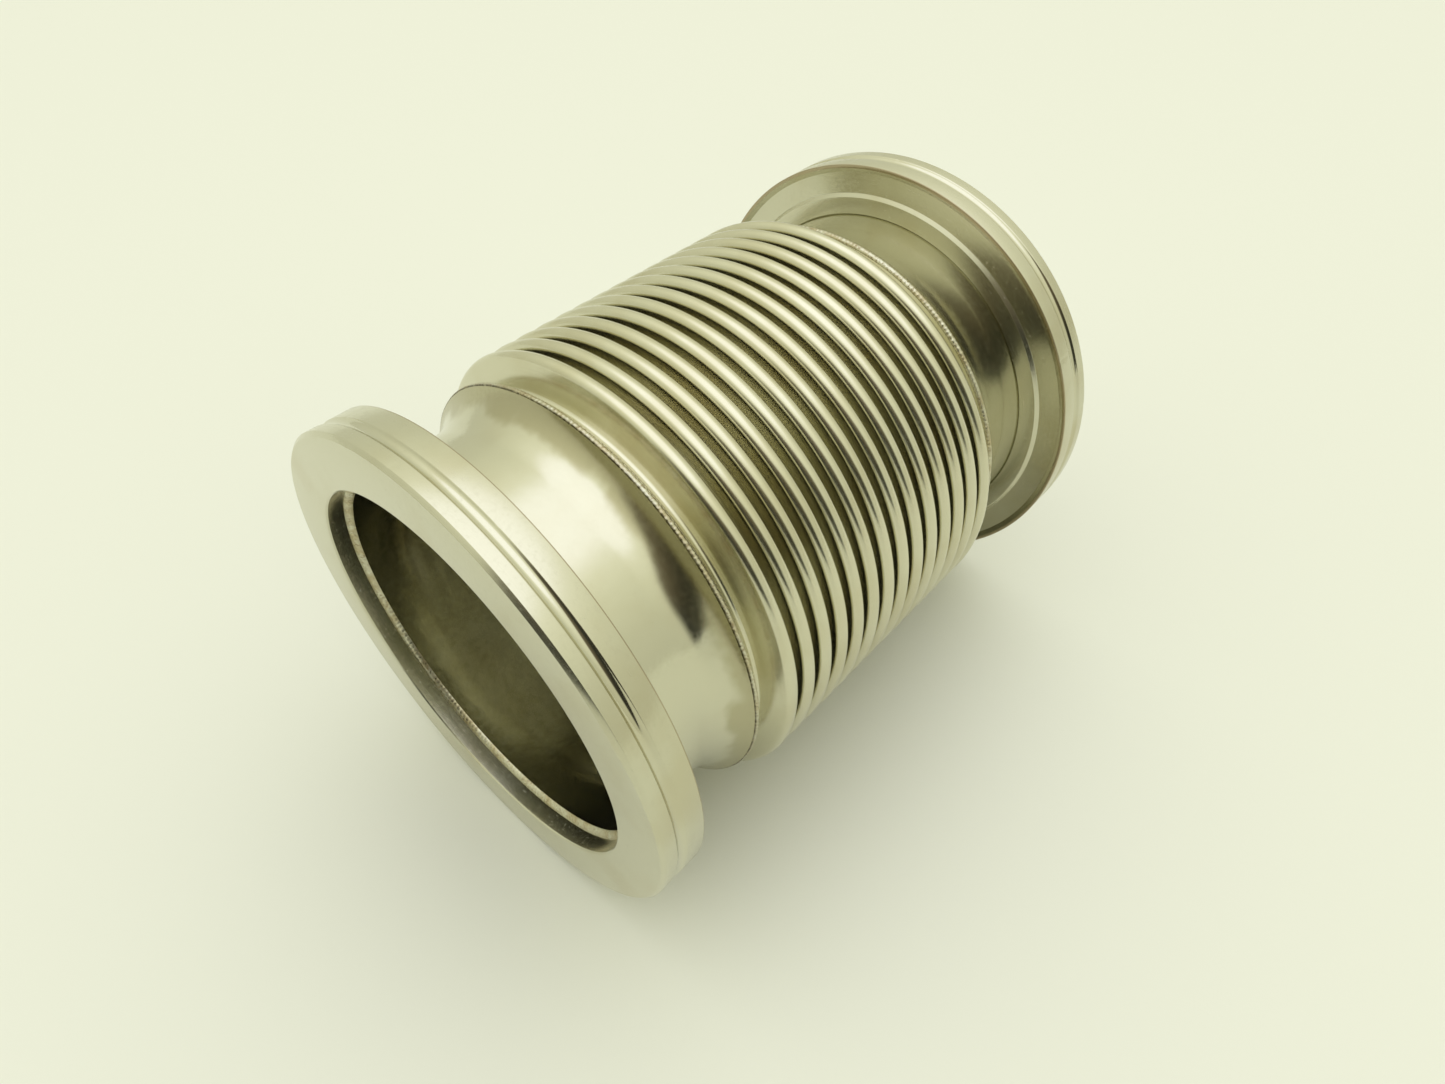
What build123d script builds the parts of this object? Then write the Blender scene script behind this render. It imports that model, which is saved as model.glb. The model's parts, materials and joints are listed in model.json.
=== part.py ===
from build123d import *
from math import asin, atan2, cos, degrees, hypot, radians, sin, tan
import os

# Metal bellows expansion joint with a claw-clamp vacuum flange at each end, in millimetres.
# The flow axis is +X, the origin is the centre of the front flange's sealing face, +Z is up.
# The bellows wall is one formed tube. It is cut at the middle of every crest and every root
# into half convolutions, so that each can move as it does when the wall flexes.

# Driving dimensions
OVERALL_LENGTH = 172.0
FLANGE_RADIUS = 65.0
FLANGE_THICKNESS = 12.0
BORE_RADIUS = 51.0
TUBE_WALL = 1.5
BELLOWS_WALL = 0.3
CONVOLUTIONS = 14
FIRST_CREST_X = 45.95
CREST_RADIUS = 61.3  # outside of a crest, from the flow axis
ROOT_RADIUS = 53.5  # outside of a root, from the flow axis
CREST_ROUND = 1.95  # outside radius of the rounded crest, seen in section

# Flange: chamfered face, rim groove, shallow recess on the back for the clamp's claws,
# and a shallow groove in the bore that the internal weld fills
FACE_CHAMFER = 0.9
BORE_EDGE_BREAK = 0.4
WELD_GROOVE_DEPTH = 0.4
RIM_GROOVE_START = 3.9
RIM_GROOVE_END = 6.9
RIM_GROOVE_DEPTH = 0.8
RECESS_DEPTH = 0.9
RECESS_OUTER_RADIUS = 62.8
RECESS_INNER_RADIUS = 56.9
RECESS_OUTER_SLOPE = 1.3
RECESS_INNER_SLOPE = 0.9
BACK_BORE_CHAMFER = 0.35

# Tube stub: straight, then flared on one arc up to the lip that the bellows is welded to
TUBE_START_X = 6.0
FLARE_START_X = 26.5
FLARE_ROUND = 12.0
FLARE_ANGLE = 60.0

# Welds: bead legs equal the tube wall, and the crowns stand a little proud
BORE_WELD_CROWN = 0.62
SEAM_CROWN_X = 37.75
SEAM_CROWN_RADIUS = 57.45

# Bellows cuff: it falls from the seam into a first valley as deep as the roots, then rises on a
# steep flank to the first crest
CUFF_START_X = 38.6
CUFF_RADIUS = 56.6
VALLEY_ROUND = 1.2
FLANK_ANGLE = 72.0

# Worked out from the dimensions above
PITCH = (OVERALL_LENGTH - 2 * FIRST_CREST_X) / (CONVOLUTIONS - 1)
ROOT_ROUND = PITCH / 2 - CREST_ROUND
TUBE_INSIDE = BORE_RADIUS - TUBE_WALL
FLARE_CENTRE = Vector(FLARE_START_X, BORE_RADIUS + FLARE_ROUND)
CREST_CENTRE_RADIUS = CREST_RADIUS - CREST_ROUND
ROOT_CENTRE_RADIUS = ROOT_RADIUS + ROOT_ROUND
FLANK = radians(FLANK_ANGLE)
FLANK_TOP_X = FIRST_CREST_X - CREST_ROUND * sin(FLANK)
FLANK_TOP_RADIUS = CREST_CENTRE_RADIUS + CREST_ROUND * cos(FLANK)
FLANK_RISE = FLANK_TOP_RADIUS - ROOT_RADIUS - VALLEY_ROUND * (1 - cos(FLANK))
VALLEY_X = FLANK_TOP_X - FLANK_RISE / tan(FLANK) - VALLEY_ROUND * sin(FLANK)
VALLEY_CENTRE = (VALLEY_X, ROOT_RADIUS + VALLEY_ROUND)
CUFF_DROP = CUFF_RADIUS - ROOT_RADIUS - VALLEY_ROUND
CUFF_REACH = VALLEY_X - CUFF_START_X
CUFF_FALL = atan2(CUFF_DROP, CUFF_REACH) + asin(VALLEY_ROUND / hypot(CUFF_DROP, CUFF_REACH))

# Sections are drawn with X along the flow axis and Y as the radius, then turned about the axis
SECTION = Plane.XZ
FLOW = Axis.X
MIDDLE = Plane.YZ.offset(OVERALL_LENGTH / 2)


def weld_groove():
    """Start, bottom and end of the groove in the bore, in front of the end of the tube."""
    start = TUBE_START_X - TUBE_WALL
    middle = TUBE_START_X - TUBE_WALL / 2
    bottom = BORE_RADIUS + WELD_GROOVE_DEPTH
    return (start, BORE_RADIUS), (middle, bottom), (TUBE_START_X, BORE_RADIUS)


def flange():
    """Clamp flange with a flat sealing face."""
    recess_x = FLANGE_THICKNESS - RECESS_DEPTH
    groove_middle = (RIM_GROOVE_START + RIM_GROOVE_END) / 2
    groove_start, groove_bottom, groove_end = weld_groove()
    with BuildPart() as ring:
        with BuildSketch(SECTION):
            with BuildLine():
                Polyline(
                    (RIM_GROOVE_END, FLANGE_RADIUS),
                    (FLANGE_THICKNESS, FLANGE_RADIUS),
                    (FLANGE_THICKNESS, RECESS_OUTER_RADIUS + RECESS_OUTER_SLOPE),
                    (recess_x, RECESS_OUTER_RADIUS),
                    (recess_x, RECESS_INNER_RADIUS),
                    (FLANGE_THICKNESS, RECESS_INNER_RADIUS - RECESS_INNER_SLOPE),
                    (FLANGE_THICKNESS, BORE_RADIUS + BACK_BORE_CHAMFER),
                    (FLANGE_THICKNESS - BACK_BORE_CHAMFER, BORE_RADIUS),
                    groove_end,
                )
                ThreePointArc(groove_end, groove_bottom, groove_start)
                Polyline(
                    groove_start,
                    (BORE_EDGE_BREAK, BORE_RADIUS),
                    (0, BORE_RADIUS + BORE_EDGE_BREAK),
                    (0, FLANGE_RADIUS - FACE_CHAMFER),
                    (FACE_CHAMFER, FLANGE_RADIUS),
                    (RIM_GROOVE_START, FLANGE_RADIUS),
                )
                ThreePointArc(
                    (RIM_GROOVE_START, FLANGE_RADIUS),
                    (groove_middle, FLANGE_RADIUS - RIM_GROOVE_DEPTH),
                    (RIM_GROOVE_END, FLANGE_RADIUS),
                )
            make_face()
        revolve(axis=FLOW)
    return ring


def flare_point(radius):
    """The end of an arc about the flare's centre, at the welded lip."""
    return FLARE_CENTRE + Vector(radius, 0).rotate(Axis.Z, FLARE_ANGLE - 90)


def tube_stub():
    """Tube end in the flange, flared like a trumpet at the bellows."""
    with BuildPart() as tube:
        with BuildSketch(SECTION):
            with BuildLine():
                Line((TUBE_START_X, BORE_RADIUS), (FLARE_START_X, BORE_RADIUS))
                CenterArc(FLARE_CENTRE, FLARE_ROUND, -90, FLARE_ANGLE)
                Line(flare_point(FLARE_ROUND), flare_point(FLARE_ROUND + TUBE_WALL))
                CenterArc(FLARE_CENTRE, FLARE_ROUND + TUBE_WALL, -90, FLARE_ANGLE)
                Line((FLARE_START_X, TUBE_INSIDE), (TUBE_START_X, TUBE_INSIDE))
                Line((TUBE_START_X, TUBE_INSIDE), (TUBE_START_X, BORE_RADIUS))
            make_face()
        revolve(axis=FLOW)
    return tube


def bore_weld():
    """Fillet bead between the flange's bore and the end of the tube, filling the bore's groove."""
    on_bore, groove_bottom, corner = weld_groove()
    on_tube = (TUBE_START_X, TUBE_INSIDE)
    leg = TUBE_WALL * BORE_WELD_CROWN
    with BuildPart() as bead:
        with BuildSketch(SECTION):
            with BuildLine():
                ThreePointArc(on_bore, (TUBE_START_X - leg, BORE_RADIUS - leg), on_tube)
                Line(on_tube, corner)
                ThreePointArc(corner, groove_bottom, on_bore)
            make_face()
        revolve(axis=FLOW)
    return bead


def seam_weld():
    """Edge bead that joins the flared lip to the bellows cuff."""
    on_lip = flare_point(FLARE_ROUND)
    on_cuff = (CUFF_START_X, CUFF_RADIUS)
    inside_cuff = cuff_end(BELLOWS_WALL)
    inside_lip = flare_point(FLARE_ROUND + TUBE_WALL)
    with BuildPart() as bead:
        with BuildSketch(SECTION):
            with BuildLine():
                ThreePointArc(on_lip, (SEAM_CROWN_X, SEAM_CROWN_RADIUS), on_cuff)
                Polyline(on_cuff, inside_cuff, inside_lip, on_lip)
            make_face()
        revolve(axis=FLOW)
    return bead


def cuff_end(inset):
    """Where the bellows wall starts at the seam, on its outside or inset from it."""
    return (CUFF_START_X - inset * sin(CUFF_FALL), CUFF_RADIUS - inset * cos(CUFF_FALL))


def cuff():
    """End of the bellows wall, from the welded seam to the middle of the first crest."""
    valley_start = -90 - degrees(CUFF_FALL)
    valley_turn = FLANK_ANGLE + degrees(CUFF_FALL)
    with BuildPart() as wall:
        with BuildSketch(SECTION):
            with BuildLine():
                for inset in (0, BELLOWS_WALL):
                    valley = CenterArc(
                        VALLEY_CENTRE, VALLEY_ROUND + inset, valley_start, valley_turn
                    )
                    Line(cuff_end(inset), valley @ 0)
                    crest = CenterArc(
                        (FIRST_CREST_X, CREST_CENTRE_RADIUS), CREST_ROUND - inset, 90, FLANK_ANGLE
                    )
                    Line(valley @ 1, crest @ 1)
                Line(cuff_end(0), cuff_end(BELLOWS_WALL))
                Line((FIRST_CREST_X, CREST_RADIUS), (FIRST_CREST_X, CREST_RADIUS - BELLOWS_WALL))
            make_face()
        revolve(axis=FLOW)
    return wall


def half_convolution(crest_x, root_x):
    """Bellows wall from the middle of a crest to the middle of the root beside it."""
    rearward = root_x > crest_x
    crest_turn = -90 if rearward else 90
    root_start = 180 if rearward else 0
    with BuildPart() as wall:
        with BuildSketch(SECTION):
            with BuildLine():
                for inset in (0, BELLOWS_WALL):
                    crest = CenterArc(
                        (crest_x, CREST_CENTRE_RADIUS), CREST_ROUND - inset, 90, crest_turn
                    )
                    root = CenterArc(
                        (root_x, ROOT_CENTRE_RADIUS), ROOT_ROUND + inset, root_start, -crest_turn
                    )
                    Line(crest @ 1, root @ 0)
                Line((crest_x, CREST_RADIUS), (crest_x, CREST_RADIUS - BELLOWS_WALL))
                Line((root_x, ROOT_RADIUS), (root_x, ROOT_RADIUS - BELLOWS_WALL))
            make_face()
        revolve(axis=FLOW)
    return wall


def rear_copy(front):
    """The same piece at the rear end."""
    with BuildPart() as rear:
        mirror(front.part, about=MIDDLE)
    return rear


def save(piece, name):
    piece.part.label = name
    export_step(piece.part, f"parts/{name}.step")


os.makedirs("parts", exist_ok=True)

END_PIECES = {
    "flange": flange(),
    "tube_stub": tube_stub(),
    "bore_weld": bore_weld(),
    "seam_weld": seam_weld(),
    "bellows_cuff": cuff(),
}
for kind, piece in END_PIECES.items():
    save(piece, f"front_{kind}")
    save(rear_copy(piece), f"rear_{kind}")

for number in range(1, CONVOLUTIONS):
    crest_x = FIRST_CREST_X + (number - 1) * PITCH
    root_x = crest_x + PITCH / 2
    save(half_convolution(crest_x, root_x), f"convolution_{number:02d}_rear_half")
    save(half_convolution(crest_x + PITCH, root_x), f"convolution_{number + 1:02d}_front_half")

print("pitch", round(PITCH, 3), "root rounding", round(ROOT_ROUND, 3))
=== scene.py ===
import json
import math
import random

import bpy
import numpy as np
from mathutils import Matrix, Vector, noise


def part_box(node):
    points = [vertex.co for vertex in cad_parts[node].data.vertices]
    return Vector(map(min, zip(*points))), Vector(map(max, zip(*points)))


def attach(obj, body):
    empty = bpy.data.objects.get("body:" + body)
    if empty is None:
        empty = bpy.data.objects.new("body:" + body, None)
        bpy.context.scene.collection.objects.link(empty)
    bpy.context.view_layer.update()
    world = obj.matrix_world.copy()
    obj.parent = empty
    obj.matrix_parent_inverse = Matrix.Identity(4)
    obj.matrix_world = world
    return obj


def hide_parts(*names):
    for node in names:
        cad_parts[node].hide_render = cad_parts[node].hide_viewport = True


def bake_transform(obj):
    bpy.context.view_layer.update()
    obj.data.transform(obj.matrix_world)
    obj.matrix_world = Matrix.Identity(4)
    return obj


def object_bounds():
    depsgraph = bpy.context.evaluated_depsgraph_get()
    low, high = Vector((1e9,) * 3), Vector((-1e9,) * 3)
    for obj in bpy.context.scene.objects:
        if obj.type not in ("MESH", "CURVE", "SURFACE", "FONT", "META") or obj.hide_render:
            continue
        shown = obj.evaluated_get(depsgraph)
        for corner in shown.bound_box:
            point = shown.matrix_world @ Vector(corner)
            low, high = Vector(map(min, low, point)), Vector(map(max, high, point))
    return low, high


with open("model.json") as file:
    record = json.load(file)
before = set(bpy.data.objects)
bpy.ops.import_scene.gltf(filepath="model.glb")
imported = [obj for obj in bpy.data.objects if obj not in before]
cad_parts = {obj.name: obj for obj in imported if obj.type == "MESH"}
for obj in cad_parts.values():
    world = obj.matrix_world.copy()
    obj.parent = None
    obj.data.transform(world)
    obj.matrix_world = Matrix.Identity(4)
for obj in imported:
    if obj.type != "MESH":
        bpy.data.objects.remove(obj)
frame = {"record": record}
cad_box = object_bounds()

# Looks of a metal bellows expansion joint: two clamp flanges, two flared tube ends, their
# welds, and a thin formed bellows. Every piece is a closed ring turned about the flow axis,
# +X. Outlines are in millimetres, as (distance along the axis, radius). Front pieces are
# drawn from their sizes, and rear pieces are the same outlines mirrored.

MM = 0.001

# ---------------------------------------------------------------- sizes from the frame


def box_mm(node):
    """A CAD node's lowest and highest corner, in millimetres."""
    low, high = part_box(node)
    return Vector(low) / MM, Vector(high) / MM


MOUNTS = {mount["name"]: mount for mount in frame["record"]["mounts"]}
LENGTH = box_mm("rear_flange")[1].x
FLANGE_THICKNESS = box_mm("front_flange")[1].x
FLANGE_RADIUS = box_mm("front_flange")[1].z
BORE_RADIUS = MOUNTS["front_bore"]["dims"]["r_mm"]
TUBE_START = box_mm("front_tube_stub")[0].x
LIP_END = box_mm("front_tube_stub")[1].x
SEAM_RADIUS = box_mm("front_seam_weld")[1].z
SEAM_END = box_mm("front_seam_weld")[1].x
BEAD_START = box_mm("front_bore_weld")[0].x
FIRST_CREST = box_mm("front_bellows_cuff")[1].x
CREST_RADIUS = box_mm("convolution_02_front_half")[1].z
FIRST_ROOT = box_mm("convolution_01_rear_half")[1].x
PITCH = 2 * (FIRST_ROOT - FIRST_CREST)
CONVOLUTIONS = round((LENGTH - 2 * FIRST_CREST) / PITCH) + 1

# ---------------------------------------------------------------- sizes the frame doesn't say

FACE_CHAMFER = 0.9
EDGE_BREAK = 0.4                      # of the bore, at the sealing face
RIM_GROOVE = (3.9, 6.9, 0.8)          # start, end, depth
RECESS = (0.9, 62.8, 56.9)            # depth, outer radius, inner radius, in a flange's back
RECESS_SLOPES = (1.3, 0.9)            # how far its outer and inner walls lean
BACK_BORE_CHAMFER = 0.35
EDGE_ROUND = 0.12
NICKS = 26                            # on each flange
TUBE_WALL = 1.5
FLARE_START = 26.5
FLARE_ROUND = 12.0
FLARE_ANGLE = math.radians(60)
WAVINESS = (0.05, 0.012)              # of the tube: broad and fine, as a height
BEAD_CROWN = 0.62                     # share of the bead's leg at the middle of its face
BEAD_RIPPLE = (1.35, 0.07)            # pitch, depth
SEAM_CROWN = 37.75
SEAM_RIPPLE = (1.2, 0.10)             # pitch, depth
CUFF_RADIUS = 56.6
VALLEY_ROUND = 1.2
FLANK_ANGLE = math.radians(72)
BELLOWS_WALL = 0.3
CREST_ROUND = 1.95
ROOT_ROUND = PITCH / 2 - CREST_ROUND
ROOT_RADIUS = 53.5
FLANK_MIDDLE = (CREST_RADIUS - CREST_ROUND + ROOT_RADIUS + ROOT_ROUND) / 2
FLANGE_SEGMENTS = 720
TUBE_SEGMENTS = 300
BEAD_SEGMENTS = 1600
SEAM_SEGMENTS = 2000
BELLOWS_SEGMENTS = 256
SHARP_ANGLE = math.radians(38)
SEEDS = {"front": (11, 3.7, 1.3), "rear": (12, 8.2, 6.9)}   # flange nicks, tube, welds

# ---------------------------------------------------------------- outlines


def arc(centre, radius, start, end, steps):
    """Points on a circle, with the angles in radians from the flow axis towards the radius."""
    turn = [start + (end - start) * step / steps for step in range(steps + 1)]
    return [(centre[0] + radius * math.cos(a), centre[1] + radius * math.sin(a)) for a in turn]


def line(start, end, steps):
    """Evenly spaced points from start up to, but not including, end."""
    share = [step / steps for step in range(steps)]
    return [(start[0] + (end[0] - start[0]) * t, start[1] + (end[1] - start[1]) * t) for t in share]


def three_point_arc(start, middle, end, steps):
    """Points on the circle through three points."""
    (ax, ay), (bx, by), (cx, cy) = start, middle, end
    twice_area = 2 * (ax * (by - cy) + bx * (cy - ay) + cx * (ay - by))
    a2, b2, c2 = ax * ax + ay * ay, bx * bx + by * by, cx * cx + cy * cy
    x = (a2 * (by - cy) + b2 * (cy - ay) + c2 * (ay - by)) / twice_area
    y = (a2 * (cx - bx) + b2 * (ax - cx) + c2 * (bx - ax)) / twice_area
    first = math.atan2(ay - y, ax - x)
    sweep = (math.atan2(cy - y, cx - x) - first) % math.tau
    passed = (math.atan2(by - y, bx - x) - first) % math.tau
    if passed > sweep:
        sweep -= math.tau
    return arc((x, y), math.hypot(ax - x, ay - y), first, first + sweep, steps)


def rounded(corners, radius, steps=3):
    """A closed outline with each corner rounded off. A corner is (x, r) or (x, r, its radius)."""
    points = []
    for i, corner in enumerate(corners):
        here = Vector(corner[:2])
        size = corner[2] if len(corner) > 2 else radius
        back = (Vector(corners[i - 1][:2]) - here).normalized()
        ahead = (Vector(corners[(i + 1) % len(corners)][:2]) - here).normalized()
        half = back.angle(ahead) / 2
        if size == 0 or half > math.radians(88):
            points.append(tuple(here))
            continue
        reach = size / math.tan(half)
        start, end = here + back * reach, here + ahead * reach
        centre = here + (back + ahead).normalized() * (size / math.sin(half))
        middle = centre + (here - centre).normalized() * size
        points += three_point_arc(start, middle, end, steps)
    return points


# ---------------------------------------------------------------- rings


def clockwise(outline):
    """The outline as an array that runs clockwise, which turns the ring's faces outwards."""
    points = np.array(outline)
    after = np.roll(points, -1, axis=0)
    twice_area = np.sum(points[:, 0] * after[:, 1] - after[:, 0] * points[:, 1])
    return points if twice_area < 0 else points[::-1]


def ring_faces(count, segments):
    """Quads between neighbouring points of an outline and neighbouring segments."""
    i = np.arange(count)[:, None]
    j = np.arange(segments)[None, :]
    below, beside = (i + 1) % count, (j + 1) % segments
    corners = (i * segments + j, i * segments + beside, below * segments + beside, below * segments + j)
    return np.stack(np.broadcast_arrays(*corners), axis=-1).reshape(-1, 4)


def turn_about_axis(name, outline, segments, shape=None):
    """A closed ring. shape(x, r, angle) may return changed x and r, for ripples and dents."""
    points = clockwise(outline)
    angle = np.linspace(0, math.tau, segments, endpoint=False)[None, :]
    x = np.repeat(points[:, :1], segments, axis=1)
    r = np.repeat(points[:, 1:], segments, axis=1)
    if shape:
        x, r = shape(x, r, np.repeat(angle, len(points), axis=0))
    verts = np.stack([x, r * np.cos(angle), r * np.sin(angle)], axis=-1).reshape(-1, 3) * MM
    mesh = bpy.data.meshes.new(name)
    mesh.from_pydata(verts.tolist(), [], ring_faces(len(points), segments).tolist())
    mesh.update()
    along = np.cumsum(np.r_[0, np.hypot(*np.diff(points, axis=0).T)])
    add_coordinates(mesh, verts / MM, along, angle, segments)
    mesh.shade_smooth()
    mesh.set_sharp_from_angle(angle=SHARP_ANGLE)
    ring = bpy.data.objects.new(name, mesh)
    bpy.context.scene.collection.objects.link(ring)
    return ring


def add_coordinates(mesh, places, along, angle, segments):
    """Two point attributes for materials: the place at rest, and the place along the outline."""
    rest = mesh.attributes.new("rest", "FLOAT_VECTOR", "POINT")
    rest.data.foreach_set("vector", places.astype(np.float32).ravel())
    s = np.repeat(along[:, None], segments, axis=1)
    cos = np.broadcast_to(np.cos(angle), s.shape)
    sin = np.broadcast_to(np.sin(angle), s.shape)
    turned = mesh.attributes.new("turned", "FLOAT_VECTOR", "POINT")
    turned.data.foreach_set("vector", np.stack([s, cos, sin], axis=-1).astype(np.float32).ravel())


def noise_field(x, r, angle, size, seed):
    """Smooth noise from -1 to 1 at each point of a ring. size is the width of its lumps in mm."""
    y, z = r * np.cos(angle), r * np.sin(angle)
    places = np.stack([x, y, z], axis=-1).reshape(-1, 3) / size
    values = [noise.noise(Vector(place) + Vector((seed, seed, seed))) for place in places.tolist()]
    return np.array(values).reshape(x.shape)


def mirrored(outline):
    """The same outline at the rear end."""
    return [(LENGTH - x, r) for x, r in reversed(outline)]


def at_end(end, outline):
    return outline if end == "front" else mirrored(outline)


def from_nearest_face(x):
    """Distance along the flow axis from the nearest sealing face."""
    return np.where(x <= LENGTH / 2, x, LENGTH - x)


def place(piece, body, material, slot, *nodes):
    """Gives a piece its material, hides the CAD nodes it stands for, and attaches it to the body it rides
    on.
    """
    piece.data.materials.append(material)
    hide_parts(*nodes)
    if body:
        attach(piece, body)


# ---------------------------------------------------------------- flanges


def flange_outline():
    groove_start, groove_end, groove_depth = RIM_GROOVE
    depth, outer, inner = RECESS
    floor = FLANGE_THICKNESS - depth
    groove = three_point_arc(
        (groove_start + EDGE_ROUND, FLANGE_RADIUS - EDGE_ROUND / 2),
        ((groove_start + groove_end) / 2, FLANGE_RADIUS - groove_depth),
        (groove_end - EDGE_ROUND, FLANGE_RADIUS - EDGE_ROUND / 2),
        14,
    )
    corners = [
        (0, BORE_RADIUS + EDGE_BREAK, 0.08),
        (0, FLANGE_RADIUS - FACE_CHAMFER, 0.1),
        (FACE_CHAMFER, FLANGE_RADIUS, 0.1),
        (groove_start, FLANGE_RADIUS, 0.1),
        *[(x, r, 0) for x, r in groove],
        (groove_end, FLANGE_RADIUS, 0.1),
        (FLANGE_THICKNESS, FLANGE_RADIUS, 0.2),
        (FLANGE_THICKNESS, outer + RECESS_SLOPES[0], 0.12),
        (floor, outer, 0.25),
        (floor, inner, 0.2),
        (FLANGE_THICKNESS, inner - RECESS_SLOPES[1], 0.12),
        (FLANGE_THICKNESS, BORE_RADIUS + BACK_BORE_CHAMFER, 0.1),
        (FLANGE_THICKNESS - BACK_BORE_CHAMFER, BORE_RADIUS, 0.05),
        (TUBE_START, BORE_RADIUS, 0),
        (BEAD_START, BORE_RADIUS, 0),
        (EDGE_BREAK, BORE_RADIUS, 0.08),
    ]
    return rounded(corners, EDGE_ROUND)


def nicked(x, r, angle, seed):
    """Small dents struck into the edges of the rim and its groove."""
    draw = random.Random(seed)
    edges = (0.3, FACE_CHAMFER, RIM_GROOVE[0], RIM_GROOVE[1], FLANGE_THICKNESS - 0.2)
    x, r = x.copy(), r.copy()
    for _ in range(NICKS):
        at_x = draw.choice(edges)
        at_angle = draw.uniform(0, math.tau)
        size = draw.uniform(0.35, 0.8)
        depth = draw.uniform(0.04, 0.13)
        around = np.angle(np.exp(1j * (angle - at_angle))) * r
        away = np.hypot(around * 0.8, from_nearest_face(x) - at_x)
        dent = np.clip(1 - (away / size) ** 2, 0, 1) * (r > FLANGE_RADIUS - 1.2)
        r = r - depth * dent
    return x, r


def make_flange(end, material):
    seed = SEEDS[end][0]
    ring = turn_about_axis(
        f"{end}_clamp_flange", at_end(end, flange_outline()), FLANGE_SEGMENTS,
        lambda x, r, angle: nicked(x, r, angle, seed),
    )
    place(ring, f"{end}_end", material, "flange_steel", f"{end}_flange")


# ---------------------------------------------------------------- tube ends


def flare_point(radius):
    """The end of an arc about the flare's centre, at the welded lip."""
    turn = FLARE_ANGLE - math.pi / 2
    return FLARE_START + radius * math.cos(turn), BORE_RADIUS + FLARE_ROUND + radius * math.sin(turn)


def tube_outline():
    centre = (FLARE_START, BORE_RADIUS + FLARE_ROUND)
    start, end = -math.pi / 2, FLARE_ANGLE - math.pi / 2
    inside = BORE_RADIUS - TUBE_WALL
    outer_lip = flare_point(FLARE_ROUND)
    inner_lip = flare_point(FLARE_ROUND + TUBE_WALL)
    return (
        line((TUBE_START, BORE_RADIUS), (FLARE_START, BORE_RADIUS), 14)
        + arc(centre, FLARE_ROUND, start, end, 24)
        + line(outer_lip, inner_lip, 2)[1:]
        + arc(centre, FLARE_ROUND + TUBE_WALL, end, start, 24)
        + line((FLARE_START, inside), (TUBE_START, inside), 10)[1:]
        + line((TUBE_START, inside), (TUBE_START, BORE_RADIUS), 2)
    )


def spun(x, r, angle, seed):
    """The slight waviness of tube that was rolled and spun, fading out at its ends."""
    from_end = from_nearest_face(x)
    free = np.clip((from_end - FLANGE_THICKNESS) / 3, 0, 1) * np.clip((LIP_END - 2.5 - from_end) / 3, 0, 1)
    broad, fine = WAVINESS
    wave = broad * noise_field(x, r, angle, 17, seed) + fine * noise_field(x, r, angle, 5, seed + 9)
    return x, r + (wave - 0.03) * free


def make_tube(end, material):
    seed = SEEDS[end][1]
    ring = turn_about_axis(
        f"{end}_flared_tube", at_end(end, tube_outline()), TUBE_SEGMENTS,
        lambda x, r, angle: spun(x, r, angle, seed),
    )
    place(ring, f"{end}_end", material, "tube_steel", f"{end}_tube_stub")


# ---------------------------------------------------------------- welds


def rippled(x, r, angle, centre, ripple, seed):
    """The overlapping ripples that a weld pool leaves, pushed towards the bead's own centre."""
    pitch, depth = ripple
    from_end = from_nearest_face(x)
    around = angle * centre[1]
    drift = 0.35 * pitch * np.array([[noise.noise(Vector((a * 0.31, seed, 0))) for a in around[0]]])
    step = ((around + drift) / pitch + (from_end - centre[0]) ** 2 * 0.22) % 1.0
    height = np.abs(step - 0.5) * 2
    swell = noise_field(x * 0, r * 0 + centre[1], angle, 6, seed)
    outward = np.hypot(from_end - centre[0], r - centre[1]) + 1e-6
    push = -depth * (1 - height ** 2) + 0.6 * depth * (swell - 0.6)
    dx, dr = (from_end - centre[0]) / outward, (r - centre[1]) / outward
    sign = np.where(x <= LENGTH / 2, 1, -1)
    return x + sign * dx * push, r + dr * push


def bead_outline():
    on_bore = (BEAD_START, BORE_RADIUS)
    on_tube = (TUBE_START, BORE_RADIUS - TUBE_WALL)
    leg = TUBE_WALL * BEAD_CROWN
    crown = (TUBE_START - leg, BORE_RADIUS - leg)
    return three_point_arc(on_bore, crown, on_tube, 12) + [(TUBE_START, BORE_RADIUS)]


def seam_outline():
    on_lip = flare_point(FLARE_ROUND)
    on_cuff = (SEAM_END, CUFF_RADIUS)
    front_top = (on_lip[0] + 0.12, SEAM_RADIUS - 0.16)
    crown = (SEAM_CROWN, SEAM_RADIUS)
    inner = [(SEAM_END - 0.2, CUFF_RADIUS - BELLOWS_WALL), flare_point(FLARE_ROUND + TUBE_WALL)]
    front = line((on_lip[0] - 0.02, on_lip[1] - 0.06), front_top, 4)
    return front + three_point_arc(front_top, crown, on_cuff, 14) + inner


def make_welds(end, material):
    seed = SEEDS[end][2]
    bead_centre = (TUBE_START, BORE_RADIUS)
    seam_centre = (SEAM_CROWN, SEAM_RADIUS - 0.9)
    bead_ring = turn_about_axis(
        f"{end}_bore_bead", at_end(end, bead_outline()), BEAD_SEGMENTS,
        lambda x, r, angle: rippled(x, r, angle, bead_centre, BEAD_RIPPLE, seed),
    )
    place(bead_ring, f"{end}_end", material, "weld_steel", f"{end}_bore_weld")
    seam_ring = turn_about_axis(
        f"{end}_seam_bead", at_end(end, seam_outline()), SEAM_SEGMENTS,
        lambda x, r, angle: rippled(x, r, angle, seam_centre, SEAM_RIPPLE, seed + 2),
    )
    place(seam_ring, f"{end}_end", material, "weld_steel", f"{end}_seam_weld")


# ---------------------------------------------------------------- bellows


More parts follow.
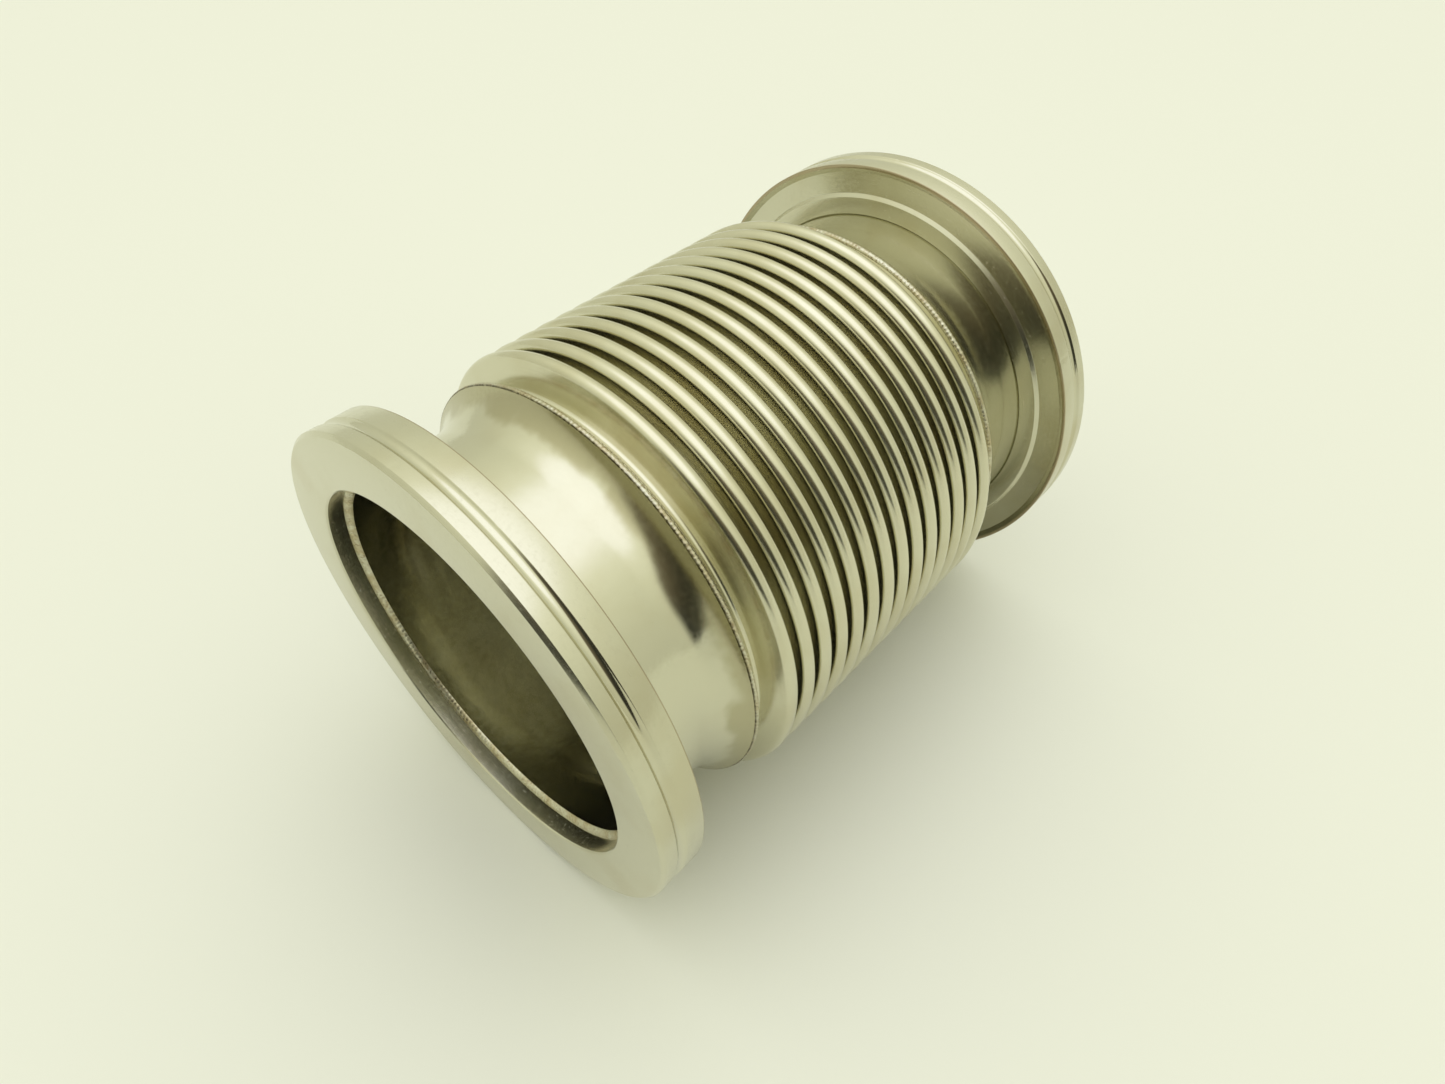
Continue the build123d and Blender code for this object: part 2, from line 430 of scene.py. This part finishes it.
def fold_side(centre, size, far_angle, steps):
    """One surface of the wall round a crest or a root, between the middles of its two flanks."""
    fold = arc(centre, size, math.pi, far_angle, steps)
    foot, far_foot = (centre[0] - size, FLANK_MIDDLE), (centre[0] + size, FLANK_MIDDLE)
    return line(foot, fold[0], 3) + fold + line(far_foot, fold[-1], 3)[::-1]


def crest_outline(x):
    centre = (x, CREST_RADIUS - CREST_ROUND)
    outer = fold_side(centre, CREST_ROUND, 0, 22)
    return outer + fold_side(centre, CREST_ROUND - BELLOWS_WALL, 0, 22)[::-1]


def root_outline(x):
    centre = (x, ROOT_RADIUS + ROOT_ROUND)
    outer = fold_side(centre, ROOT_ROUND, math.tau, 16)
    return outer + fold_side(centre, ROOT_ROUND + BELLOWS_WALL, math.tau, 16)[::-1]


def first_valley():
    """The middle of the first valley's round, and how steeply the sheet falls to it from the seam."""
    top_x = FIRST_CREST - CREST_ROUND * math.sin(FLANK_ANGLE)
    top_r = CREST_RADIUS - CREST_ROUND + CREST_ROUND * math.cos(FLANK_ANGLE)
    foot_r = ROOT_RADIUS + VALLEY_ROUND * (1 - math.cos(FLANK_ANGLE))
    foot_x = top_x - (top_r - foot_r) / math.tan(FLANK_ANGLE)
    centre = (foot_x - VALLEY_ROUND * math.sin(FLANK_ANGLE), ROOT_RADIUS + VALLEY_ROUND)
    away = math.hypot(centre[0] - SEAM_END, centre[1] - CUFF_RADIUS)
    fall = math.atan2(CUFF_RADIUS - centre[1], centre[0] - SEAM_END) + math.asin(VALLEY_ROUND / away)
    return centre, fall


def cuff_side(inset):
    """One surface of the wall, from the seam down to the first valley and over the first crest."""
    centre, fall = first_valley()
    start = (SEAM_END - inset * math.sin(fall), CUFF_RADIUS - inset * math.cos(fall))
    valley = arc(centre, VALLEY_ROUND + inset, -math.pi / 2 - fall, FLANK_ANGLE - math.pi / 2, 14)
    crest_centre = (FIRST_CREST, CREST_RADIUS - CREST_ROUND)
    crest = arc(crest_centre, CREST_ROUND - inset, math.pi / 2 + FLANK_ANGLE, 0, 20)
    foot = (FIRST_CREST + CREST_ROUND - inset, FLANK_MIDDLE)
    return (
        line(start, valley[0], 4)
        + valley
        + line(valley[-1], crest[0], 5)[1:]
        + crest
        + line(foot, crest[-1], 3)[::-1]
    )


def bent_ring(name, outline, material, nodes):
    """One stretch of bellows wall between two bodies, baked in place and attached to neither."""
    ring = turn_about_axis(name, outline, BELLOWS_SEGMENTS)
    place(ring, None, material, "bellows_steel", *nodes)
    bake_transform(ring)


def bellows_chain():
    """The bodies that the bellows crosses, in order."""
    chain = ["front_end"]
    for number in range(1, CONVOLUTIONS):
        chain += [f"convolution_{number:02d}_rear_half", f"convolution_{number + 1:02d}_front_half"]
    return chain + ["rear_end"]


def make_bellows(material):
    """Crests and roots in turn, with a cuff on the first and the last crest."""
    chain = bellows_chain()
    cuff = cuff_side(0) + cuff_side(BELLOWS_WALL)[::-1]
    cuffs = {0: ("front_bellows_cuff", cuff), len(chain) - 2: ("rear_bellows_cuff", mirrored(cuff))}
    for link in range(len(chain) - 1):
        bodies = chain[link:link + 2]
        number, at_root = link // 2 + 1, link % 2
        x = FIRST_CREST + link * PITCH / 2
        nodes = [body for body in bodies if body.startswith("convolution")]
        if at_root:
            bent_ring(f"bellows_root_{number:02d}", root_outline(x), material, nodes)
            continue
        outline = crest_outline(x)
        if link in cuffs:
            cuff_node, outline = cuffs[link]
            nodes.append(cuff_node)
        bent_ring(f"bellows_crest_{number:02d}", outline, material, nodes)


# ---------------------------------------------------------------- material building


class Nodes:
    """A short way to add shader nodes to one tree and to join them."""

    def __init__(self, tree):
        self.tree = tree

    def add(self, kind, values=None, **settings):
        node = self.tree.nodes.new(kind)
        for name, value in settings.items():
            setattr(node, name, value)
        for name, value in (values or {}).items():
            socket = node.inputs[name]
            if isinstance(value, bpy.types.NodeSocket):
                self.tree.links.new(value, socket)
            else:
                socket.default_value = value
        return node

    def attribute(self, name, scale):
        """A point attribute, times a scale for each axis."""
        read = self.add("ShaderNodeAttribute", attribute_name=name)
        return self.add("ShaderNodeMapping", {"Vector": read.outputs["Vector"], "Scale": scale}).outputs[0]

    def noise(self, vector, scale, detail, roughness=0.5):
        """Smooth noise from 0 to 1, of scale lumps in a unit of the vector."""
        values = {"Vector": vector, "Scale": scale, "Detail": detail, "Roughness": roughness}
        return self.add("ShaderNodeTexNoise", values).outputs["Fac"]

    def remap(self, value, low, high, to_low=0.0, to_high=1.0, smooth=True):
        """The value's place between low and high, held at those ends, as one from to_low to to_high."""
        values = {"Value": value, "From Min": low, "From Max": high, "To Min": to_low, "To Max": to_high}
        kind = "SMOOTHSTEP" if smooth else "LINEAR"
        return self.add("ShaderNodeMapRange", values, interpolation_type=kind).outputs["Result"]

    def math(self, operation, *values):
        node = self.add("ShaderNodeMath", operation=operation)
        for socket, value in zip(node.inputs, values):
            if isinstance(value, bpy.types.NodeSocket):
                self.tree.links.new(value, socket)
            else:
                socket.default_value = value
        return node.outputs[0]

    def dot(self, vector, axis):
        node = self.add("ShaderNodeVectorMath", {0: vector, 1: axis}, operation="DOT_PRODUCT")
        return node.outputs["Value"]

    def mix(self, share, first, second):
        """Two colours mixed by share."""
        node = self.add("ShaderNodeMix", data_type="RGBA")
        for index, value in ((0, share), (6, first), (7, second)):
            if isinstance(value, bpy.types.NodeSocket):
                self.tree.links.new(value, node.inputs[index])
            else:
                node.inputs[index].default_value = value
        return node.outputs[2]

    def bump(self, height, distance, strength=1.0):
        """A normal that follows the height. distance is in metres."""
        values = {"Height": height, "Distance": distance, "Strength": strength}
        return self.add("ShaderNodeBump", values).outputs["Normal"]


def new_steel(name):
    """A new metal material, a builder for its nodes, and its shader."""
    material = bpy.data.materials.new(name)
    material.use_nodes = True
    shader = material.node_tree.nodes["Principled BSDF"]
    shader.inputs["Metallic"].default_value = 1.0
    return material, Nodes(material.node_tree), shader


def plug(nodes, shader, **sockets):
    """Joins results to the shader's sockets, whose names are given with _ for a space."""
    for name, value in sockets.items():
        nodes.tree.links.new(value, shader.inputs[name.replace("_", " ")])


STEEL = (0.62, 0.605, 0.47, 1)
STEEL_WARM = (0.57, 0.54, 0.39, 1)
STEEL_DULL = (0.52, 0.50, 0.375, 1)
SHEET = (0.655, 0.635, 0.485, 1)
SHEET_WARM = (0.61, 0.58, 0.42, 1)
STRAW = (0.50, 0.44, 0.28, 1)
# Olive near a seam: partly the tint that welding leaves, partly painted shade.
WELD_TINT_AND_SHADE_OLIVE = (0.43, 0.40, 0.255, 1)
# Brown of temper and oxide; also the painted shade along a flange rim's back edge.
TEMPER_AND_SHADE_BROWN = (0.34, 0.27, 0.16, 1)
# Near black: painted shade in the crevice along the front of a seam weld.
SEAM_CREVICE_SHADE = (0.10, 0.085, 0.05, 1)

TURNED_ROUGHNESS = (0.17, 0.25)
TUBE_ROUGHNESS = (0.11, 0.17)
SHEET_ROUGHNESS = (0.17, 0.23)
WELD_ROUGHNESS = (0.22, 0.48)
GROOVE_SMOOTHNESS = 0.5               # share of the roughness left in the rim's groove
TURNED_BRUSHING = 0.55
SHEET_BRUSHING = 0.3
FINE_BUMP = 0.0000015                 # bump heights are in metres
TUBE_BUMP = 0.00008
WELD_BUMP = 0.00004
# Where the tube darkens near its seam: partly weld tint, partly painted shade.
WELD_TINT_AND_SHADE_BAND = (LIP_END - 6.5, LIP_END - 3.5)
SEAM_LINE = (36.95, 37.45)            # the painted shade of the crevice along the seam's front fades between these
# A flange rim's back edge is darkened brown over this span: painted shade.
BACK_EDGE_SHADE_SPAN = (FLANGE_THICKNESS - 0.40, FLANGE_THICKNESS - 0.12)


def brushed(nodes, shader, amount):
    """Stretches reflections across the marks that run around the flow axis."""
    around = nodes.add("ShaderNodeTangent", direction_type="RADIAL", axis="X")
    nodes.tree.links.new(around.outputs["Tangent"], shader.inputs["Tangent"])
    shader.inputs["Anisotropic"].default_value = amount
    shader.inputs["Anisotropic Rotation"].default_value = 0.25


def from_nearest_end(nodes):
    """Distance along the flow axis from the nearest sealing face, in mm."""
    read = nodes.add("ShaderNodeAttribute", attribute_name="rest")
    x = nodes.add("ShaderNodeSeparateXYZ", {"Vector": read.outputs["Vector"]}).outputs["X"]
    return nodes.math("MINIMUM", x, nodes.math("SUBTRACT", LENGTH, x))


def rim_share(nodes):
    """1 on a flange's rim, 0 nearer the axis."""
    across = nodes.attribute("rest", (0, 1, 1))
    radius = nodes.add("ShaderNodeVectorMath", {0: across}, operation="LENGTH").outputs["Value"]
    return nodes.math("GREATER_THAN", radius, FLANGE_RADIUS - FACE_CHAMFER)


def groove_share(nodes):
    """1 inside the groove of a flange's rim, 0 elsewhere."""
    from_end = from_nearest_end(nodes)
    past_start = nodes.math("GREATER_THAN", from_end, RIM_GROOVE[0] + 0.1)
    before_end = nodes.math("LESS_THAN", from_end, RIM_GROOVE[1] - 0.1)
    return nodes.math("MULTIPLY", nodes.math("MULTIPLY", past_start, before_end), rim_share(nodes))


def turned_steel():
    """Lathe-turned satin steel: fine rings along the tool's path, small scuffs, light staining, and
    painted shade along the rim's back edge.
    """
    material, n, shader = new_steel("turned steel")
    place_at = n.attribute("rest", (1, 1, 1))
    cloud = n.noise(place_at, 0.045, 3)
    fine_cloud = n.noise(place_at, 0.9, 4, 0.6)
    rings = n.noise(n.attribute("turned", (9, 3, 3)), 1, 3, 0.6)
    fine_rings = n.noise(n.attribute("turned", (34, 5, 5)), 1, 2, 0.5)
    color = n.mix(n.remap(cloud, 0.45, 0.72), STEEL, STEEL_WARM)
    color = n.mix(n.remap(fine_cloud, 0.52, 0.8, 0, 0.35), color, STEEL_DULL)
    grain = n.math("ADD", n.math("MULTIPLY", rings, 0.6), n.math("MULTIPLY", fine_rings, 0.4))
    scuffs = n.remap(fine_cloud, 0.4, 0.75, 0, 0.05)
    roughness = n.math("ADD", n.remap(grain, 0.3, 0.7, *TURNED_ROUGHNESS), scuffs)
    # Painted shade: the rim's back edge is darkened towards brown.
    painted_back_edge_shade = n.math("MULTIPLY", n.remap(from_nearest_end(n), *BACK_EDGE_SHADE_SPAN), rim_share(n))
    color = n.mix(n.math("MULTIPLY", painted_back_edge_shade, 0.8), color, TEMPER_AND_SHADE_BROWN)
    roughness = n.math("MULTIPLY", roughness, n.remap(groove_share(n), 0, 1, 1, GROOVE_SMOOTHNESS))
    normal = n.bump(grain, FINE_BUMP)
    brushed(n, shader, TURNED_BRUSHING)
    plug(n, shader, Base_Color=color, Roughness=roughness, Normal=normal)
    return material


def tube_steel():
    """Polished tube: nearly a mirror, slightly mottled, and darkened olive near the seam, partly by the
    tint that welding leaves and partly by painted shade.
    """
    material, n, shader = new_steel("polished tube steel")
    place_at = n.attribute("rest", (1, 1, 1))
    cloud = n.noise(place_at, 0.07, 3)
    mottle = n.noise(place_at, 0.8, 5, 0.62)
    specks = n.noise(place_at, 2.6, 2, 0.5)
    lengthways = n.noise(n.attribute("turned", (5, 2, 2)), 1, 3, 0.6)
    # Near the seam the colour darkens to olive: partly weld tint, partly painted shade. The added
    # roughness there belongs to the weld tint.
    near_seam = n.math("ADD", from_nearest_end(n), n.remap(cloud, 0.3, 0.7, -2, 2))
    weld_tint_and_shade = n.remap(near_seam, *WELD_TINT_AND_SHADE_BAND)
    color = n.mix(n.remap(cloud, 0.4, 0.75, 0, 0.5), STEEL, STEEL_WARM)
    color = n.mix(n.math("MULTIPLY", weld_tint_and_shade, 0.8), color, WELD_TINT_AND_SHADE_OLIVE)
    color = n.mix(n.remap(specks, 0.72, 0.78, 0, 0.6), color, TEMPER_AND_SHADE_BROWN)
    drawn_lines = n.remap(lengthways, 0.4, 0.7, 0, 0.02)
    roughness = n.math("ADD", n.remap(mottle, 0.35, 0.7, *TUBE_ROUGHNESS), drawn_lines)
    roughness = n.math("ADD", roughness, n.math("MULTIPLY", weld_tint_and_shade, 0.07))
    normal = n.bump(n.noise(place_at, 0.12, 2), TUBE_BUMP, 0.8)
    plug(n, shader, Base_Color=color, Roughness=roughness, Normal=normal)
    return material


def bellows_steel():
    """Thin formed sheet: satin, with fine lines left around it by the forming rolls."""
    material, n, shader = new_steel("formed bellows steel")
    place_at = n.attribute("rest", (1, 1, 1))
    cloud = n.noise(place_at, 0.06, 3)
    mottle = n.noise(place_at, 0.9, 4, 0.6)
    rolled = n.noise(n.attribute("turned", (4.2, 2.5, 2.5)), 1, 3, 0.6)
    color = n.mix(n.remap(cloud, 0.4, 0.7), SHEET, SHEET_WARM)
    color = n.mix(n.remap(mottle, 0.55, 0.8, 0, 0.35), color, STEEL)
    blotches = n.remap(mottle, 0.4, 0.75, 0, 0.04)
    roughness = n.math("ADD", n.remap(rolled, 0.3, 0.7, *SHEET_ROUGHNESS), blotches)
    normal = n.bump(rolled, FINE_BUMP)
    brushed(n, shader, SHEET_BRUSHING)
    plug(n, shader, Base_Color=color, Roughness=roughness, Normal=normal)
    return material


def weld_steel():
    """Weld bead: rippled, bright on the crowns, brown with oxide between them, with painted shade in
    dashes along the crevice at the seam's front.
    """
    material, n, shader = new_steel("weld bead steel")
    place_at = n.attribute("rest", (1, 1, 1))
    cloud = n.noise(place_at, 0.25, 3)
    oxide = n.noise(place_at, 1.6, 4, 0.65)
    color = n.mix(n.remap(cloud, 0.35, 0.7), STEEL, STRAW)
    color = n.mix(n.remap(oxide, 0.5, 0.68), color, TEMPER_AND_SHADE_BROWN)
    # Painted shade: dark dashes in the crevice along the front of the seam, not on the bore bead.
    dashes = n.noise(n.attribute("turned", (0.4, 50, 50)), 1, 2, 0.5)
    on_seam = n.math("GREATER_THAN", from_nearest_end(n), FLANGE_THICKNESS)
    front = n.math("MULTIPLY", n.remap(from_nearest_end(n), *SEAM_LINE, 1, 0), on_seam)
    color = n.mix(n.math("MULTIPLY", front, n.remap(dashes, 0.36, 0.56, 0.45, 1)), color, SEAM_CREVICE_SHADE)
    roughness = n.remap(oxide, 0.35, 0.7, *WELD_ROUGHNESS)
    normal = n.bump(oxide, WELD_BUMP)
    plug(n, shader, Base_Color=color, Roughness=roughness, Normal=normal)
    return material


# ---------------------------------------------------------------- floor, light and camera

FLOOR_SIZE = 6.0                      # metres
FLOOR_TINT = (0.82, 0.83, 0.735, 1)
FLOOR_ROUGHNESS = 0.5

# The surroundings at a few heights: the sine of the elevation, the radiance, and its blue share.
# The lamps overhead are whiter than the walls.
SKY = (
    (-1.0, 0.72, 0.78),
    (0.0, 0.72, 0.78),
    (0.35, 0.80, 0.78),
    (0.64, 0.98, 0.80),
    (0.79, 1.14, 0.84),
    (0.88, 1.50, 1.01),
    (1.0, 1.56, 1.02),
)
SKY_GREEN = 1.01                      # green share of the radiance
BRIGHTEST = SKY_GREEN * max(level for _, level, _ in SKY)

# The one dark thing that the steel reflects: somebody standing at the near side. It is a
# rounded square in the directions around the object, with a soft edge.
DARK_AZIMUTH = math.radians(-142)
DARK_ELEVATION = math.radians(12)
DARK_HALF_WIDTH = 0.70
DARK_HALF_HEIGHT = 0.50
DARK_SQUARENESS = 3.0
DARK_EDGE = (0.5, 1.3)
DARK_FOOT = (0.030, 0.030, 0.022, 1)
DARK_HEAD = (0.115, 0.098, 0.065, 1)


def sky_color(n, direction):
    """The surroundings' colour, which changes only with the height."""
    height = n.add("ShaderNodeSeparateXYZ", {"Vector": direction}).outputs["Z"]
    ramp = n.add("ShaderNodeValToRGB", {"Fac": n.remap(height, -1, 1, smooth=False)})
    steps = ramp.color_ramp.elements
    for index, (sine, level, blue) in enumerate(SKY):
        step = steps[index] if index < 2 else steps.new(1.0)
        step.position = (sine + 1) / 2
        share = level / BRIGHTEST
        step.color = (share, SKY_GREEN * share, blue * share, 1)
    return ramp.outputs["Color"]


def dark_figure(n, direction):
    """How much a direction meets the dark figure, and the figure's colour there."""
    side = Vector((-math.sin(DARK_AZIMUTH), math.cos(DARK_AZIMUTH), 0))
    middle = Vector((math.cos(DARK_AZIMUTH), math.sin(DARK_AZIMUTH), 0)) * math.cos(DARK_ELEVATION)
    middle.z = math.sin(DARK_ELEVATION)
    across, upward, facing = (n.dot(direction, axis) for axis in (side, middle.cross(side), middle))
    across = n.math("DIVIDE", across, DARK_HALF_WIDTH)
    upward = n.math("DIVIDE", upward, DARK_HALF_HEIGHT)
    away = [n.math("POWER", n.math("ABSOLUTE", part), DARK_SQUARENESS) for part in (across, upward)]
    near = n.remap(n.math("ADD", *away), *DARK_EDGE, 1, 0)
    share = n.math("MULTIPLY", near, n.math("GREATER_THAN", facing, 0))
    return share, n.mix(n.remap(upward, 0.0, 0.8), DARK_FOOT, DARK_HEAD)


def make_world():
    world = bpy.data.worlds.new("studio")
    bpy.context.scene.world = world
    world.use_nodes = True
    n = Nodes(world.node_tree)
    background = world.node_tree.nodes["Background"]
    direction = n.add("ShaderNodeTexCoord").outputs["Generated"]
    share, figure = dark_figure(n, direction)
    color = n.mix(share, sky_color(n, direction), figure)
    world.node_tree.links.new(color, background.inputs["Color"])
    background.inputs["Strength"].default_value = BRIGHTEST


def make_floor():
    mesh = bpy.data.meshes.new("floor")
    half = FLOOR_SIZE / 2
    z = cad_box[0].z
    corners = [(-half, -half, z), (half, -half, z), (half, half, z), (-half, half, z)]
    mesh.from_pydata(corners, [], [(0, 1, 2, 3)])
    floor = bpy.data.objects.new("floor", mesh)
    bpy.context.scene.collection.objects.link(floor)
    material = bpy.data.materials.new("plain pale floor")
    material.use_nodes = True
    shader = material.node_tree.nodes["Principled BSDF"]
    shader.inputs["Base Color"].default_value = FLOOR_TINT
    shader.inputs["Roughness"].default_value = FLOOR_ROUGHNESS
    mesh.materials.append(material)


# The photograph's viewing angle, worked out from the circles of both flanges. In millimetres.
CAMERA_PLACE = Vector((-48.444, -124.946, 175.185)) * MM
CAMERA_AIM = Vector((88.84, 0, -22.83)) * MM
LENS = 22.577
SENSOR_WIDTH = 36


def make_camera():
    data = bpy.data.cameras.new("camera")
    data.sensor_width = SENSOR_WIDTH
    data.lens = LENS
    data.clip_start = 0.01
    camera = bpy.data.objects.new("camera", data)
    camera.location = CAMERA_PLACE
    camera.rotation_euler = (CAMERA_AIM - CAMERA_PLACE).to_track_quat("-Z", "Y").to_euler()
    bpy.context.scene.collection.objects.link(camera)
    bpy.context.scene.camera = camera


# ---------------------------------------------------------------- the whole scene


def main():
    turned, tube, bellows, weld = turned_steel(), tube_steel(), bellows_steel(), weld_steel()
    for end in ("front", "rear"):
        make_flange(end, turned)
        make_tube(end, tube)
        make_welds(end, weld)
    make_bellows(bellows)
    make_world()
    make_floor()
    make_camera()
    bpy.context.scene.view_settings.view_transform = "Standard"


main()
